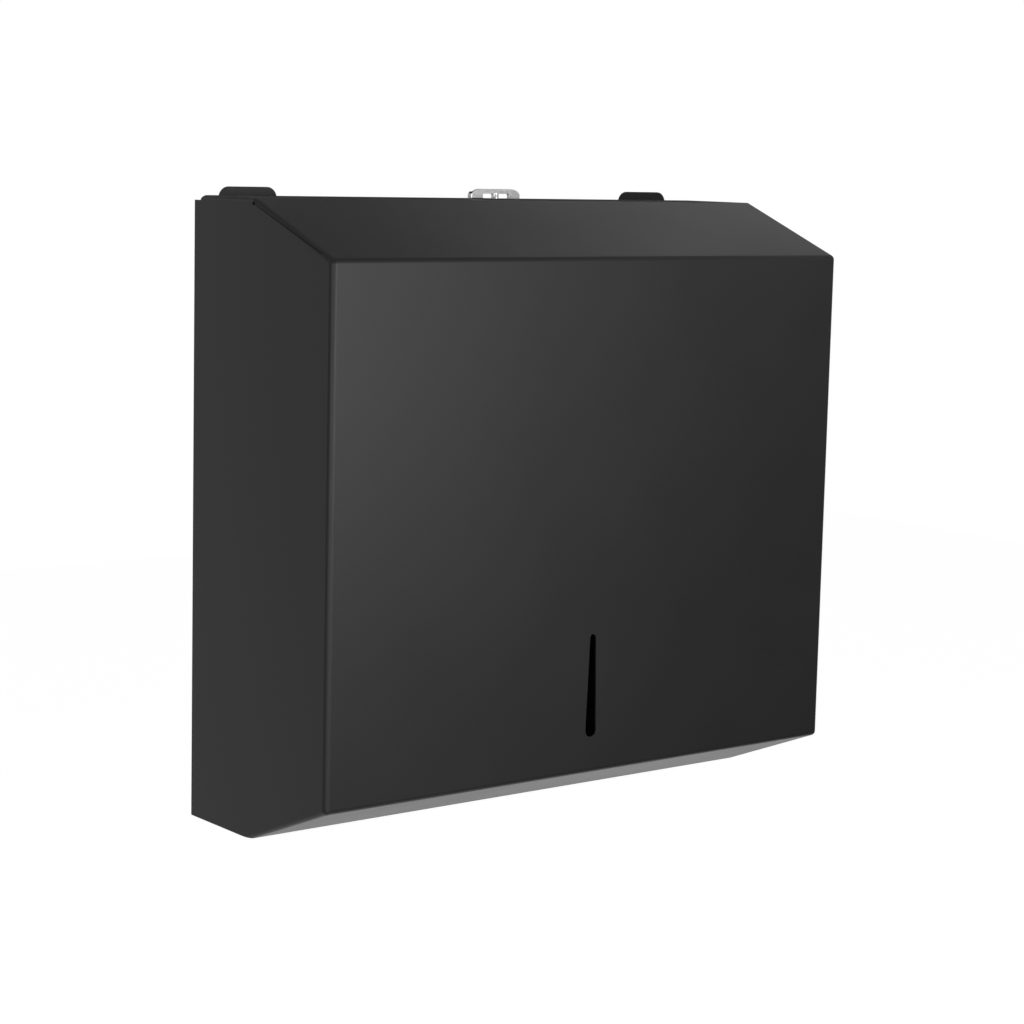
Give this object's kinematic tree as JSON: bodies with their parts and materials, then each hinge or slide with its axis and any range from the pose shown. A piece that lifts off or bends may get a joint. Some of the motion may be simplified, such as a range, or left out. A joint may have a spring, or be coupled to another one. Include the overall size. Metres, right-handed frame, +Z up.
{
  "type": "folded paper towel dispenser",
  "caption": "Wall-mounted sheet-metal dispenser for folded paper towels: sloped hinged cover with a sight slot, quarter-turn latch wing on top, inner towel tray with an open throat below.",
  "frame": {"origin": "centre of the four wall holes, in the wall plane, which is the rear face of the back plate", "axes": "+X along the wall to the right of someone facing the dispenser, +Y into the wall, +Z up; the cover's front faces -Y"},
  "size_m": [0.28, 0.108, 0.2766],
  "materials": {
    "black_powder_coat": "matte black powder coat with a very fine texture, on steel sheet",
    "bright_chrome": "bright nickel and chrome plate, lightly brushed",
    "zinc_plated_steel": "clear zinc plating, satin",
    "natural_nylon": "moulded, matte",
    "buffer_rubber": "matte black",
    "rivet_aluminium": "plain, satin"
  },
  "bodies": {
    "wall_frame": {"back_plate": "black_powder_coat", "left_hinge_bush": "natural_nylon", "right_hinge_bush": "natural_nylon", "towel_tray": "black_powder_coat", "tray_rivets": "rivet_aluminium", "left_towel_guide": "black_powder_coat", "right_towel_guide": "black_powder_coat", "guide_rivets": "rivet_aluminium", "latch_keeper": "black_powder_coat", "keeper_rivets": "rivet_aluminium", "cover_buffers": "buffer_rubber"},
    "cover": {"front_cover": "black_powder_coat", "left_hinge_stud": "zinc_plated_steel", "right_hinge_stud": "zinc_plated_steel", "left_retaining_ring": "zinc_plated_steel", "right_retaining_ring": "zinc_plated_steel", "left_stop_pin": "zinc_plated_steel", "right_stop_pin": "zinc_plated_steel", "lock_bushing": "black_powder_coat", "lock_washer": "zinc_plated_steel", "lock_nut": "zinc_plated_steel"},
    "latch": {"latch_spindle": "bright_chrome", "latch_wing": "bright_chrome", "wing_pin": "bright_chrome", "latch_cam": "zinc_plated_steel", "cam_washer": "zinc_plated_steel", "cam_screw": "zinc_plated_steel"}
  },
  "joints": [
    {"name": "cover_hinge", "type": "hinge", "parent": "wall_frame", "child": "cover", "pos_m": [0, -0.014, -0.129], "axis": [1, 0, 0], "range_deg": [0, 80]},
    {"name": "latch_turn", "type": "hinge", "parent": "cover", "child": "latch", "pos_m": [0, -0.03, 0.136], "axis": [0, 0, -1], "range_deg": [0, 90]}
  ]
}
